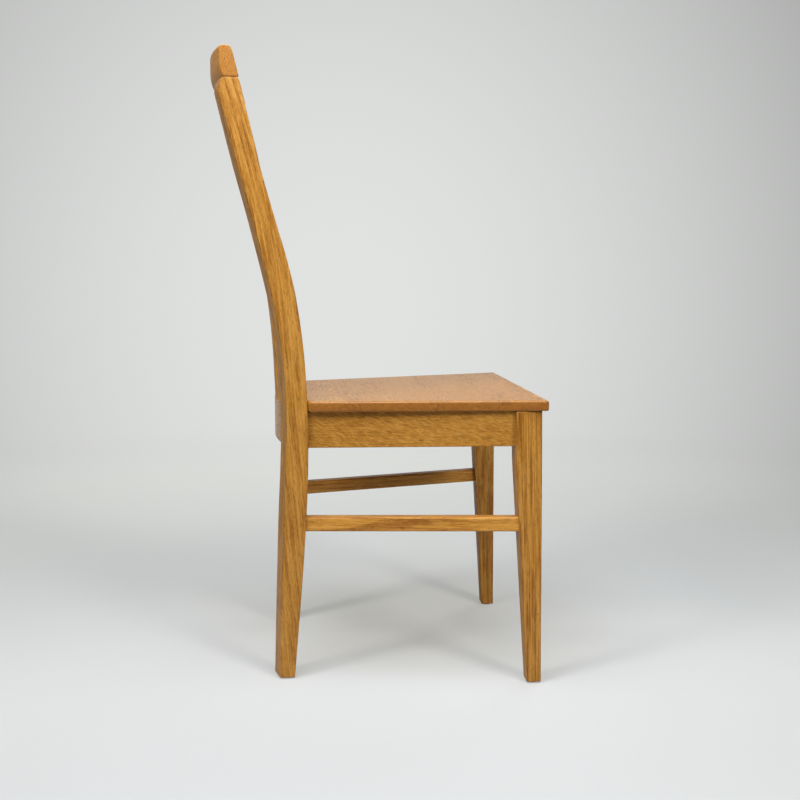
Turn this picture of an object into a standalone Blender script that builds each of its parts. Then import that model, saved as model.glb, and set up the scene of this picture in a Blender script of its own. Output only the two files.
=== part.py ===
"""A wooden dining chair with a curved slatted back, modelled as its separate pieces.

Metres, +Z up. The chair faces -Y and stands on Z = 0, with its origin on the
floor below the middle of its bounding box. SIDES gives the sitter's right (-X)
and left (+X).
"""

import math

import bmesh
import bpy
from mathutils import Matrix, Vector

SIDES = {"right": -1.0, "left": 1.0}

# Clearances
GAP = 0.0003
NOTCH_GAP = 0.0006

# Seat board
SEAT_FRONT_Y = -0.258
SEAT_FRONT_TOP = 0.450
SEAT_FALL = 0.01528
SEAT_THICKNESS = 0.0165
SEAT_HALF_WIDTH = 0.233
SEAT_CORNER_RADIUS = 0.003
SEAT_EDGE_RADIUS = 0.0028
SEAT_POST_OVERHANG = 0.0062

# Front legs
LEG_SIDE_SETBACK = 0.0085
LEG_FRONT_SETBACK = 0.00875
LEG_LEAN = 0.0087
LEG_WIDTH = 0.038
LEG_DEPTH = 0.0405
LEG_FOOT_WIDTH = 0.027
LEG_FOOT_DEPTH = 0.0223
LEG_TAPER_DROP = 0.0223
LEG_TAPER_BLEND = 0.030
LEG_EDGE_RADIUS = 0.0020

# Rear posts: (height, Y) of the rear and front edges on the post's outer face
POST_REAR_LINE = (
    (0.000, 0.1566), (0.180, 0.1508), (0.300, 0.1452), (0.420, 0.1417),
    (0.510, 0.1460), (0.600, 0.1603), (0.720, 0.1887), (0.810, 0.2124),
    (0.915, 0.2376),
)
POST_FRONT_LINE = (
    (0.000, 0.1327), (0.180, 0.1173), (0.300, 0.1097), (0.400, 0.1078),
    (0.510, 0.1124), (0.600, 0.1236), (0.660, 0.1367), (0.720, 0.1537),
    (0.810, 0.1784), (0.870, 0.1916), (0.937, 0.2082),
)
POST_FOOT_HALF_SPAN = 0.167
POST_SPLAY = 0.01383
POST_WIDTH = 0.033
POST_HEAD_ROUND = 0.022
POST_HEAD_TUCK = 0.0110
POST_HEAD_CURVE = 1.6
POST_EDGE_RADIUS = 0.0022
POST_STEP = 0.030

# Curved back: one plan radius for the crest, the rear rail and the row of slats
BACK_RADIUS = 0.560
BACK_RING_STEPS = 120

# Crest rail: (depth from the rear face, height above the joint) round its section
CREST_BOTTOM = 0.937
CREST_REAR_Y = 0.2576
CREST_SECTION = (
    (0.0280, 0.0000), (0.0190, 0.0395), (0.0179, 0.0418), (0.0162, 0.0443),
    (0.0135, 0.0459), (0.0105, 0.0464), (0.0040, 0.0463), (0.0020, 0.0459),
    (0.0006, 0.0444), (0.0000, 0.0415), (0.0000, 0.0200), (0.0005, 0.0140),
    (0.0018, 0.0080), (0.0034, 0.0035), (0.0050, 0.0000),
)
CREST_END_RADIUS = 0.0016

# Rear rail under the slats
REAR_RAIL_Y = 0.161
REAR_RAIL_SINK = 0.0069
REAR_RAIL_HEIGHT = 0.066
REAR_RAIL_THICKNESS = 0.022
REAR_RAIL_EDGE = 0.0025

# Back slats: (height, Y) of the middle slat's rear face
SLAT_COUNT = 5
SLAT_REAR_LINE = (
    (0.437, 0.1597), (0.530, 0.1641), (0.597, 0.1709), (0.700, 0.1860),
    (0.800, 0.2070), (0.900, 0.2340), (0.937, 0.2465),
)
SLAT_WIDTH = 0.026
SLAT_THICKNESS = 0.0105
SLAT_EDGE_RADIUS = 0.0022
SLAT_STEP = 0.036

# Rails and stretchers
RAIL_INSET = 0.008
RAIL_THICKNESS = 0.022
RAIL_HEIGHT = 0.05545
RAIL_BOTTOM_FALL = 0.0239
RAIL_EDGE_RADIUS = 0.0015
FRONT_RAIL_SETBACK = 0.00225
STRETCHER_INSET = 0.003
STRETCHER_FRONT_TOP = 0.2665
STRETCHER_FALL = 0.0199
STRETCHER_HEIGHT = 0.0227
STRETCHER_THICKNESS = 0.022
STRETCHER_EDGE_RADIUS = 0.003

# Joinery
RAIL_TENON_LENGTH = 0.016
RAIL_TENON_THICKNESS = 0.008
RAIL_TENON_SHOULDER = 0.008
FRONT_RAIL_TENON_LENGTH = 0.018
STRETCHER_TENON_LENGTH = 0.014
STRETCHER_TENON_SHOULDER = 0.004
REAR_RAIL_TENON_LENGTH = 0.018
REAR_RAIL_TENON_THICKNESS = 0.009
REAR_RAIL_TENON_SHOULDER = 0.0105
POST_TENON_HEIGHT = 0.016
POST_TENON_WIDTH = 0.018
POST_TENON_DEPTH = 0.008
SLAT_TENON_LENGTH = 0.012
SLAT_TENON_THICKNESS = 0.006
SLAT_TENON_WIDTH = 0.020
TENON_ROOT = 0.010

# Corner blocks and their screws
BLOCK_HEIGHT = 0.024
BLOCK_CROSS_REACH = 0.068
BLOCK_SIDE_REACH = 0.049
SCREW_LENGTH = 0.032
SCREW_RADIUS = 0.002
SCREW_HEAD_RADIUS = 0.004
SCREW_HEAD_HEIGHT = 0.0025
SCREW_SIDES = 12
SEAT_SCREW_SHIFT = 0.015
SEAT_SCREW_INSET = 0.009

# Foot glides
GLIDE_HEIGHT = 0.002
GLIDE_RADIUS = 0.0085
GLIDE_PIN_RADIUS = 0.0015
GLIDE_PIN_LENGTH = 0.012
GLIDE_SIDES = 20


def clear_scene():
    for item in list(bpy.data.objects):
        bpy.data.objects.remove(item)


def make_collection(name):
    collection = bpy.data.collections.new(name)
    bpy.context.scene.collection.children.link(collection)
    return collection


def make_material(name, colour, roughness, metallic=0.0):
    material = bpy.data.materials.new(name)
    material.use_nodes = True
    shader = material.node_tree.nodes["Principled BSDF"]
    shader.inputs["Base Color"].default_value = (*colour, 1.0)
    shader.inputs["Roughness"].default_value = roughness
    shader.inputs["Metallic"].default_value = metallic
    return material


clear_scene()
CHAIR = make_collection("wooden_dining_chair")
CUTTERS = make_collection("cutters")


# Building blocks

def place(name, mesh, matrix, material=None):
    """A named part, or a hidden cutter where no material is given."""
    item = bpy.data.objects.new(name, mesh)
    item.matrix_world = matrix
    if material is None:
        CUTTERS.objects.link(item)
        item.hide_render = True
        item.display_type = "WIRE"
    else:
        CHAIR.objects.link(item)
        mesh.materials.clear()
        mesh.materials.append(material)
    return item


def evaluated_mesh(item):
    """A plain mesh of an object with its modifiers or its curve's fill."""
    graph = bpy.context.evaluated_depsgraph_get()
    return bpy.data.meshes.new_from_object(item.evaluated_get(graph), depsgraph=graph)


def tidy_mesh(mesh, flat=True):
    """Weld the seams, and make each flat face one polygon."""
    work = bmesh.new()
    work.from_mesh(mesh)
    bmesh.ops.remove_doubles(work, verts=work.verts, dist=0.00001)
    if flat:
        bmesh.ops.dissolve_limit(work, angle_limit=math.radians(0.05), verts=work.verts, edges=work.edges)
    bmesh.ops.recalc_face_normals(work, faces=work.faces)
    work.to_mesh(mesh)
    work.free()
    return mesh


def plate_mesh(name, outline, thickness):
    """A flat outline in local XY, as thick as given along local Z."""
    curve = bpy.data.curves.new(name, "CURVE")
    curve.dimensions = "2D"
    curve.fill_mode = "BOTH"
    curve.extrude = thickness / 2
    spline = curve.splines.new("POLY")
    spline.points.add(len(outline) - 1)
    for point, (x, y) in zip(spline.points, outline):
        point.co = (x, y, 0.0, 1.0)
    spline.use_cyclic_u = True
    guide = bpy.data.objects.new(name, curve)
    CUTTERS.objects.link(guide)
    mesh = evaluated_mesh(guide)
    bpy.data.objects.remove(guide)
    return tidy_mesh(mesh)


def plate(name, outline, thickness, matrix, material=None):
    return place(name, plate_mesh(name, outline, thickness), matrix, material)


def box(name, size, matrix, material=None):
    """A box centred on its matrix."""
    mesh = bpy.data.meshes.new(name)
    work = bmesh.new()
    bmesh.ops.create_cube(work, size=1.0, matrix=Matrix.Diagonal((*size, 1.0)))
    work.to_mesh(mesh)
    work.free()
    return place(name, mesh, matrix, material)


def turned_mesh(name, profile, steps, closed=False):
    """A (radius, height) profile turned once round local Z."""
    edges = [(i, i + 1) for i in range(len(profile) - 1)]
    if closed:
        edges.append((len(profile) - 1, 0))
    mesh = bpy.data.meshes.new(name)
    mesh.from_pydata([(radius, 0.0, height) for radius, height in profile], edges, [])
    guide = bpy.data.objects.new(name, mesh)
    CUTTERS.objects.link(guide)
    screw = guide.modifiers.new("turn", "SCREW")
    screw.steps = steps
    screw.render_steps = steps
    screw.use_merge_vertices = True
    screw.merge_threshold = 0.00001
    turned = evaluated_mesh(guide)
    bpy.data.objects.remove(guide)
    return tidy_mesh(turned, flat=False)


def ease(item, width, segments=2):
    """Round the edges that turn by more than 35 degrees."""
    bevel = item.modifiers.new("eased edges", "BEVEL")
    bevel.width = width
    bevel.segments = segments
    bevel.limit_method = "ANGLE"
    bevel.angle_limit = math.radians(35)


def combine(item, other, operation):
    boolean = item.modifiers.new(operation.lower(), "BOOLEAN")
    boolean.object = other
    boolean.operation = operation
    boolean.solver = "EXACT"


def cut(item, *cutters):
    for cutter in cutters:
        combine(item, cutter, "DIFFERENCE")


def join(item, *pieces):
    for piece in pieces:
        combine(item, piece, "UNION")


def smooth_shade(item, angle=30):
    item.data.shade_smooth()
    item.data.set_sharp_from_angle(angle=math.radians(angle))


def smooth(line, height):
    """The value at a height on the smooth curve through (height, value) stations."""
    last = len(line) - 2
    index = 0
    while index < last and line[index + 1][0] < height:
        index += 1

    def slope(station):
        before = line[max(station - 1, 0)]
        after = line[min(station + 1, last + 1)]
        return (after[1] - before[1]) / (after[0] - before[0])

    (low, start), (high, end) = line[index], line[index + 1]
    span = high - low
    t = (height - low) / span
    return (
        (2 * t ** 3 - 3 * t ** 2 + 1) * start
        + (t ** 3 - 2 * t ** 2 + t) * span * slope(index)
        + (3 * t ** 2 - 2 * t ** 3) * end
        + (t ** 3 - t ** 2) * span * slope(index + 1)
    )


def heights_between(low, high, step):
    """Evenly spaced heights, about one step apart, with both ends."""
    count = math.ceil((high - low) / step)
    return [low + (high - low) * index / count for index in range(count + 1)]


def from_axes(origin, x_axis, y_axis):
    """The matrix of a frame with the given origin and first two axes."""
    x_axis = Vector(x_axis).normalized()
    y_axis = Vector(y_axis).normalized()
    z_axis = x_axis.cross(y_axis)
    rotation = Matrix((x_axis, y_axis, z_axis)).transposed()
    return Matrix.Translation(origin) @ rotation.to_4x4()


def side_view(x=0.0):
    """Local X along world Y and local Y up, so a plate's thickness lies across the chair."""
    return from_axes((x, 0.0, 0.0), (0, 1, 0), (0, 0, 1))


# Places that several pieces share

def seat_top(y):
    return SEAT_FRONT_TOP - SEAT_FALL * (y - SEAT_FRONT_Y)


def seat_bottom(y):
    return seat_top(y) - SEAT_THICKNESS


def rail_bottom(y):
    return RAIL_BOTTOM_FRONT - RAIL_BOTTOM_FALL * (y - LEG_BACK_TOP_Y)


def rail_top(y):
    return seat_bottom(y) - GAP


def stretcher_top(y):
    return STRETCHER_FRONT_TOP - STRETCHER_FALL * (y - leg_back(STRETCHER_FRONT_TOP))


LEG_OUTER_X = SEAT_HALF_WIDTH - LEG_SIDE_SETBACK
LEG_FRONT_TOP_Y = SEAT_FRONT_Y + LEG_FRONT_SETBACK
LEG_BACK_TOP_Y = LEG_FRONT_TOP_Y + LEG_DEPTH
LEG_TOP = seat_bottom(LEG_FRONT_TOP_Y) - GAP
RAIL_BOTTOM_FRONT = seat_bottom(LEG_BACK_TOP_Y) - RAIL_HEIGHT
LEG_TAPER_TOP = RAIL_BOTTOM_FRONT - LEG_TAPER_DROP


def leg_taper(height):
    """How far up the taper a height is: 0 at the foot, 1 from the taper's top."""
    low = LEG_TAPER_TOP - LEG_TAPER_BLEND / 2
    high = LEG_TAPER_TOP + LEG_TAPER_BLEND / 2
    if height >= high:
        return 1.0
    straight = height / LEG_TAPER_TOP
    if height <= low:
        return straight
    share = (height - low) / LEG_TAPER_BLEND
    return straight - share ** 2 * LEG_TAPER_BLEND / (2 * LEG_TAPER_TOP)


def taper_heights():
    """Where the leg's outlines bend from the taper to the straight top."""
    return [LEG_TAPER_TOP + LEG_TAPER_BLEND * share for share in (-0.5, -0.17, 0.17, 0.5)]


def leg_front(height):
    return LEG_FRONT_TOP_Y - LEG_LEAN * (LEG_TOP - height)


def leg_back(height):
    return leg_front(height) + LEG_FOOT_DEPTH + (LEG_DEPTH - LEG_FOOT_DEPTH) * leg_taper(height)


def leg_width(height):
    return LEG_FOOT_WIDTH + (LEG_WIDTH - LEG_FOOT_WIDTH) * leg_taper(height)


def post_outer(height):
    return POST_FOOT_HALF_SPAN - POST_SPLAY * height


def post_inner(height):
    return post_outer(height) - POST_WIDTH


def arc_drop(x, radius=BACK_RADIUS):
    """How far an arc that is rearmost at X = 0 has come forward at x."""
    return radius - math.sqrt(radius ** 2 - x ** 2)


def arc_slope(x):
    return x / math.sqrt(BACK_RADIUS ** 2 - x ** 2)


REAR_RAIL_TOP = seat_top(REAR_RAIL_Y - REAR_RAIL_THICKNESS) - REAR_RAIL_SINK
POST_TOP = CREST_BOTTOM - GAP
POST_SKEW = arc_slope(post_outer(POST_TOP / 2) - POST_WIDTH / 2)


def post_front(height, x=None):
    """The post's front face, which turns with the back's arc across the post."""
    inward = 0.0 if x is None else post_outer(height) - abs(x)
    return smooth(POST_FRONT_LINE, height) + POST_SKEW * inward


def rear_rail_front(x, grow=0.0):
    radius = BACK_RADIUS - REAR_RAIL_THICKNESS - grow
    return REAR_RAIL_Y - REAR_RAIL_THICKNESS - grow - arc_drop(x, radius)


def side_rail_frame(side, height, inset):
    """A rail's frame on its middle plane: X to the rear, Y up, from the leg's back face."""
    front_x = LEG_OUTER_X - inset
    rear_x = post_outer(height) - inset
    front_y = leg_back(height)
    rear_y = post_front(height)
    along = Vector((side * (rear_x - front_x), rear_y - front_y, 0.0))
    outward = Vector((side * along.y, -side * along.x, 0.0)).normalized()
    origin = Vector((side * front_x, front_y, 0.0)) - outward * RAIL_THICKNESS / 2
    return from_axes(origin, along, (0, 0, 1)), along.length


# Front legs

def leg_outline(grow):
    """The leg from the side; its top slopes with the seat."""
    foot = GLIDE_HEIGHT - grow
    back_top = LEG_TOP - SEAT_FALL * LEG_DEPTH
    heights = [foot] + taper_heights() + [back_top + grow]
    front = [(leg_front(z) - grow, z) for z in (foot, LEG_TOP + grow)]
    back = [(leg_back(z) + grow, z) for z in reversed(heights)]
    return front + back


def leg_front_outline(side, grow):
    """The leg from the front, run on past its ends: a straight outer face and a tapered inner face."""
    low = -LEG_TAPER_BLEND
    high = LEG_TOP + LEG_TAPER_BLEND
    heights = [low] + taper_heights() + [high]
    inner = [(side * (LEG_OUTER_X - leg_width(z) - grow), z) for z in heights]
    outer_x = side * (LEG_OUTER_X + grow)
    return inner + [(outer_x, high), (outer_x, low)]


def front_leg(name, side, material=None, grow=0.0):
    """Where the leg's side outline and its front outline meet."""
    middle = Vector((side * (LEG_OUTER_X - LEG_WIDTH / 2), LEG_FRONT_TOP_Y + LEG_DEPTH / 2, 0.0))
    leg = plate(name, leg_outline(grow), 2 * LEG_WIDTH, side_view(middle.x), material)
    across = from_axes((0.0, middle.y, 0.0), (1, 0, 0), (0, 0, 1))
    combine(leg, plate(name + "_front", leg_front_outline(side, grow), 3 * LEG_DEPTH, across), "INTERSECT")
    if material is not None:
        ease(leg, LEG_EDGE_RADIUS)
    return leg


# Rear posts

def post_outline(grow):
    low = GLIDE_HEIGHT - grow
    high = POST_TOP + grow
    round_start = POST_TOP - POST_HEAD_ROUND
    front = [(smooth(POST_FRONT_LINE, z) - grow, z) for z in heights_between(low, high, POST_STEP)]
    rear = [(smooth(POST_REAR_LINE, z) + grow, z) for z in heights_between(low, round_start, POST_STEP)]
    for share in (0.25, 0.5, 0.75, 1.0):
        z = round_start + share * (high - round_start)
        rear.append((smooth(POST_REAR_LINE, z) + grow - POST_HEAD_TUCK * share ** POST_HEAD_CURVE, z))
    return rear + front[::-1]


def rear_post(name, side, material=None, grow=0.0):
    """The outline sheared outwards to the post's splay and turned with the back's arc."""
    mesh = plate_mesh(name, post_outline(grow), POST_WIDTH + 2 * grow)
    middle = POST_FOOT_HALF_SPAN - POST_WIDTH / 2
    for vertex in mesh.vertices:
        y, z, across = vertex.co
        inward = POST_WIDTH / 2 - side * across
        vertex.co = (y + POST_SKEW * inward, z, across - side * POST_SPLAY * z)
    post = place(name, mesh, side_view(side * middle), material)
    if material is not None:
        ease(post, POST_EDGE_RADIUS)
    return post


def post_tenon(name, side, grow=0.0):
    """The tenon on the post's top, centred under the crest's section."""
    x = post_outer(POST_TOP) - POST_WIDTH / 2
    section_middle = (CREST_SECTION[0][0] + CREST_SECTION[-1][0]) / 2
    lean = (CREST_SECTION[0][0] - CREST_SECTION[1][0]) / CREST_SECTION[1][1]
    y = CREST_REAR_Y - section_middle - arc_drop(x) + lean * POST_TENON_HEIGHT / 2
    top = POST_TOP + POST_TENON_HEIGHT + grow
    bottom = POST_TOP - TENON_ROOT
    size = (POST_TENON_WIDTH + 2 * grow, POST_TENON_DEPTH + 2 * grow, top - bottom)
    return box(name, size, Matrix.Translation((side * x, y, (top + bottom) / 2)))


# Arc-shaped rails

def arc_band(name, section, rear_y):
    """The full ring that a (depth, height) section makes about the back's axis, and its place."""
    profile = [(BACK_RADIUS - depth, height) for depth, height in section]
    mesh = turned_mesh(name, profile, BACK_RING_STEPS, closed=True)
    turn = Matrix.Rotation(math.pi / 2, 4, "Z")
    return mesh, Matrix.Translation((0.0, rear_y - BACK_RADIUS, 0.0)) @ turn


def crest_rail(name, material):
    section = [(depth, CREST_BOTTOM + height) for depth, height in CREST_SECTION]
    mesh, matrix = arc_band(name, section, CREST_REAR_Y)
    crest = place(name, mesh, matrix, material)
    low = CREST_BOTTOM - POST_WIDTH
    high = CREST_BOTTOM + 2 * POST_WIDTH
    one_end = [(post_outer(low), low), (post_outer(high), high)]
    ends = one_end + [(-x, z) for x, z in reversed(one_end)]
    depth = 2 * BACK_RADIUS - REAR_RAIL_Y
    frame = from_axes((0.0, depth / 2, 0.0), (1, 0, 0), (0, 0, 1))
    combine(crest, plate(name + "_ends", ends, depth, frame), "INTERSECT")
    ease(crest, CREST_END_RADIUS)
    return crest


def rear_rail_section(grow):
    """A rectangle with eased corners."""
    corner = REAR_RAIL_EDGE
    low = REAR_RAIL_TOP - REAR_RAIL_HEIGHT - grow
    high = REAR_RAIL_TOP + grow
    near = -grow
    far = REAR_RAIL_THICKNESS + grow
    centres = ((far - corner, low + corner, 270), (far - corner, high - corner, 0),
               (near + corner, high - corner, 90), (near + corner, low + corner, 180))
    section = []
    for depth, height, start in centres:
        for turn in (0, 45, 90):
            angle = math.radians(start + turn)
            section.append((depth + corner * math.cos(angle), height + corner * math.sin(angle)))
    return section


def rear_rail(name, material=None, grow=0.0):
    mesh, matrix = arc_band(name, rear_rail_section(grow), REAR_RAIL_Y)
    rail = place(name, mesh, matrix, material)
    half_span = post_inner(REAR_RAIL_TOP) + POST_WIDTH / 3
    size = (2 * half_span, BACK_RADIUS, 3 * REAR_RAIL_HEIGHT)
    span = box(name + "_span", size, Matrix.Translation((0.0, BACK_RADIUS / 2, REAR_RAIL_TOP)))
    combine(rail, span, "INTERSECT")
    return rail


def rear_rail_tenon(name, side, grow=0.0):
    z = REAR_RAIL_TOP - REAR_RAIL_HEIGHT / 2
    height = REAR_RAIL_HEIGHT - 2 * REAR_RAIL_TENON_SHOULDER
    shoulder = post_inner(z)
    start = shoulder - TENON_ROOT
    end = shoulder + REAR_RAIL_TENON_LENGTH + grow
    y = rear_rail_front(shoulder) + REAR_RAIL_THICKNESS / 2
    size = (end - start, REAR_RAIL_TENON_THICKNESS + 2 * grow, height + 2 * grow)
    return box(name, size, Matrix.Translation((side * (start + end) / 2, y, z)))


# Rails and stretchers that run from front to rear

def long_rail(name, frame, length, top, bottom, thickness, material=None, grow=0.0):
    """A rail between two height lines, run on into the leg and the post."""
    start = -LEG_FOOT_DEPTH / 2
    end = length + LEG_FOOT_DEPTH / 2
    outline = []
    for line, shift, ends in ((bottom, -grow, (start, end)), (top, grow, (end, start))):
        outline += [(s, line((frame @ Vector((s, 0.0, 0.0))).y) + shift) for s in ends]
    return plate(name, outline, thickness + 2 * grow, frame, material)


def rail_tenon(name, frame, at, length, low, high, thickness, grow=0.0):
    """A tenon that leaves a rail at distance `at`; a negative length points forward."""
    direction = math.copysign(1.0, length)
    start = at - direction * TENON_ROOT
    end = at + length + direction * grow
    size = (abs(end - start), high - low + 2 * grow, thickness + 2 * grow)
    centre = Matrix.Translation(((start + end) / 2, (low + high) / 2, 0.0))
    return box(name, size, frame @ centre)


def side_rail_parts(side):
    """The side rail's frame, its length, and the height ranges of its two tenons."""
    frame, length = side_rail_frame(side, RAIL_BOTTOM_FRONT, RAIL_INSET)
    ranges = []
    for at in (0.0, length):
        y = (frame @ Vector((at, 0.0, 0.0))).y
        ranges.append((rail_bottom(y) + RAIL_TENON_SHOULDER, rail_top(y) - RAIL_TENON_SHOULDER))
    return frame, length, ranges


def stretcher_bottom(y):
    return stretcher_top(y) - STRETCHER_HEIGHT


def stretcher_parts(side):
    frame, length = side_rail_frame(side, STRETCHER_FRONT_TOP, STRETCHER_INSET)
    ranges = []
    for at in (0.0, length):
        y = (frame @ Vector((at, 0.0, 0.0))).y
        ranges.append((stretcher_bottom(y) + STRETCHER_TENON_SHOULDER,
                       stretcher_top(y) - STRETCHER_TENON_SHOULDER))
    return frame, length, ranges


def rail_tenons(name, parts, tenon_length, thickness, grow=0.0):
    """The front and rear tenons of a rail that runs from front to rear."""
    frame, length, (front_range, rear_range) = parts
    front = rail_tenon(name + "_front", frame, 0.0, -tenon_length, *front_range, thickness, grow)
    rear = rail_tenon(name + "_rear", frame, length, tenon_length, *rear_range, thickness, grow)
    return front, rear


# Front rail

FRONT_RAIL_FRONT_Y = LEG_FRONT_TOP_Y + FRONT_RAIL_SETBACK
FRONT_RAIL_MIDDLE_Y = FRONT_RAIL_FRONT_Y + RAIL_THICKNESS / 2
FRONT_RAIL_LOW = RAIL_BOTTOM_FRONT
FRONT_RAIL_HIGH = rail_top(FRONT_RAIL_FRONT_Y + RAIL_THICKNESS)
LEG_INNER_X = LEG_OUTER_X - LEG_WIDTH


def front_rail(name, material=None, grow=0.0):
    half_span = LEG_INNER_X - GAP + grow
    size = (2 * half_span, RAIL_THICKNESS + 2 * grow, FRONT_RAIL_HIGH - FRONT_RAIL_LOW + 2 * grow)
    middle = (0.0, FRONT_RAIL_MIDDLE_Y, (FRONT_RAIL_LOW + FRONT_RAIL_HIGH) / 2)
    return box(name, size, Matrix.Translation(middle), material)


def front_rail_tenon(name, side, grow=0.0):
    start = LEG_INNER_X - TENON_ROOT
    end = LEG_INNER_X + FRONT_RAIL_TENON_LENGTH + grow
    height = FRONT_RAIL_HIGH - FRONT_RAIL_LOW - 2 * RAIL_TENON_SHOULDER
    size = (end - start, RAIL_TENON_THICKNESS + 2 * grow, height + 2 * grow)
    middle = (side * (start + end) / 2, FRONT_RAIL_MIDDLE_Y, (FRONT_RAIL_LOW + FRONT_RAIL_HIGH) / 2)
    return box(name, size, Matrix.Translation(middle))


# Seat board

def seat_frame(drop=0.0):
    """The seat's own plane: X across, Y to the rear, Z square to the board."""
    tilt = Matrix.Rotation(-math.atan(SEAT_FALL), 4, "X")
    return Matrix.Translation((0.0, 0.0, seat_top(0.0))) @ tilt @ Matrix.Translation((0.0, 0.0, -drop))


def corner_arc(centre, radius, start, end, count=5):
    turns = [math.radians(start + (end - start) * index / (count - 1)) for index in range(count)]
    return [(centre[0] + radius * math.cos(turn), centre[1] + radius * math.sin(turn)) for turn in turns]


def seat_outline():
    """Half of the board from its front corner to the middle of its rear edge, then mirrored."""
    notch_z = seat_bottom(post_front(LEG_TOP))
    outer = post_outer(notch_z) + SEAT_POST_OVERHANG
    tongue = post_inner(seat_top(REAR_RAIL_Y)) - NOTCH_GAP
    notch_outer_y = post_front(notch_z, outer) - NOTCH_GAP
    notch_inner_y = post_front(notch_z, tongue) - NOTCH_GAP
    side_angle = math.degrees(math.atan2(SEAT_HALF_WIDTH - outer, notch_outer_y - SEAT_FRONT_Y))
    radius = SEAT_CORNER_RADIUS
    reach = radius * math.tan(math.radians(45 + side_angle / 2))
    centre = (SEAT_HALF_WIDTH - reach, SEAT_FRONT_Y + radius)
    half = corner_arc(centre, radius, -90, side_angle)
    half += [(outer, notch_outer_y), (tongue, notch_inner_y)]
    rear_steps = 6
    for index in range(rear_steps + 1):
        x = tongue * (1 - index / rear_steps)
        half.append((x, rear_rail_front(x) - NOTCH_GAP))
    return half + [(-x, y) for x, y in half[-2::-1]]


def seat_panel(name, material):
    board = plate(name, seat_outline(), SEAT_THICKNESS, seat_frame(SEAT_THICKNESS / 2), material)
    ease(board, SEAT_EDGE_RADIUS, segments=3)
    return board


# Slats

def slat_front(height):
    """Front face: the slat's thickness measured square to its rear face."""
    step = 0.002
    slope = (smooth(SLAT_REAR_LINE, height + step) - smooth(SLAT_REAR_LINE, height - step)) / (2 * step)
    return smooth(SLAT_REAR_LINE, height) - SLAT_THICKNESS * math.sqrt(1 + slope ** 2)


SLAT_BOTTOM = REAR_RAIL_TOP + GAP
SLAT_TOP = CREST_BOTTOM - GAP
SLAT_SPACE = (2 * post_inner(SLAT_BOTTOM) - SLAT_COUNT * SLAT_WIDTH) / (SLAT_COUNT + 1)
SLAT_PITCH = SLAT_WIDTH + SLAT_SPACE


def slat_frame(index):
    """A slat stands on the rear rail's arc, turned to it, and leans with the posts."""
    place_in_row = index - (SLAT_COUNT - 1) / 2
    x = SLAT_PITCH * place_in_row
    turn = math.asin(x / BACK_RADIUS)
    rise = SLAT_TOP - SLAT_BOTTOM
    lean = x * (1 - post_inner(SLAT_TOP) / post_inner(SLAT_BOTTOM)) / rise
    foot = Vector((x, REAR_RAIL_Y - arc_drop(x), SLAT_BOTTOM))
    upright = Matrix.Rotation(-turn, 4, "Z") @ Matrix.Rotation(-math.atan(lean), 4, "Y")
    return Matrix.Translation(foot) @ upright @ Matrix.Translation((0.0, -REAR_RAIL_Y, -SLAT_BOTTOM))


def slat_tenon(name, end_height, upward, frame, grow=0.0):
    """A stub tenon that leans with the slat's end."""
    middle_y = (smooth(SLAT_REAR_LINE, end_height) + slat_front(end_height)) / 2
    inside = end_height - upward * TENON_ROOT
    inside_y = (smooth(SLAT_REAR_LINE, inside) + slat_front(inside)) / 2
    direction = Vector((0.0, middle_y - inside_y, end_height - inside)).normalized()
    length = TENON_ROOT + SLAT_TENON_LENGTH + grow
    centre = Vector((0.0, middle_y, end_height)) + direction * (length / 2 - TENON_ROOT)
    tilt = from_axes(centre, (1, 0, 0), Vector((0, direction.z, -direction.y)))
    size = (SLAT_TENON_WIDTH + 2 * grow, SLAT_TENON_THICKNESS + 2 * grow, length)
    return box(name, size, frame @ tilt)


def slat_tenons(name, frame, grow=0.0):
    foot = slat_tenon(name + "_foot", SLAT_BOTTOM, -1, frame, grow)
    head = slat_tenon(name + "_head", SLAT_TOP, 1, frame, grow)
    return foot, head


def slat_outline():
    heights = heights_between(SLAT_BOTTOM, SLAT_TOP, SLAT_STEP)
    rear = [(smooth(SLAT_REAR_LINE, z), z) for z in heights]
    front = [(slat_front(z), z) for z in reversed(heights)]
    return rear + front


def back_slat(name, index, material):
    frame = slat_frame(index)
    slat = plate(name, slat_outline(), SLAT_WIDTH, frame @ side_view(), material)
    ease(slat, SLAT_EDGE_RADIUS)
    join(slat, *slat_tenons(name + "_tenon", frame))
    return slat


# Screws, glides and corner blocks

def screw_mesh(name, grow=0.0):
    """A pan-head screw that points along +Z from the face under its head."""
    tip = SCREW_LENGTH + grow
    shank = SCREW_RADIUS + grow
    head = SCREW_HEAD_RADIUS + grow
    crown = -SCREW_HEAD_HEIGHT
    seat = -GAP
    profile = [
        (0.0, tip), (shank, tip - 2 * SCREW_RADIUS), (shank, seat), (head, seat),
        (head, crown * 0.6), (head * 0.7, crown), (0.0, crown),
    ]
    return turned_mesh(name, profile, SCREW_SIDES)


def glide_mesh(name, grow=0.0):
    """A nail-on glide: a low disc with a pin that stands up into the foot."""
    top = GLIDE_HEIGHT - GAP
    chamfer = GLIDE_HEIGHT / 3
    pin = GLIDE_PIN_RADIUS + grow
    profile = [
        (0.0, top + GLIDE_PIN_LENGTH + grow), (pin, top + GLIDE_PIN_LENGTH - GLIDE_PIN_RADIUS),
        (pin, top), (GLIDE_RADIUS, top), (GLIDE_RADIUS, chamfer),
        (GLIDE_RADIUS - chamfer, 0.0), (0.0, 0.0),
    ]
    return turned_mesh(name, profile, GLIDE_SIDES)


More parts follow.
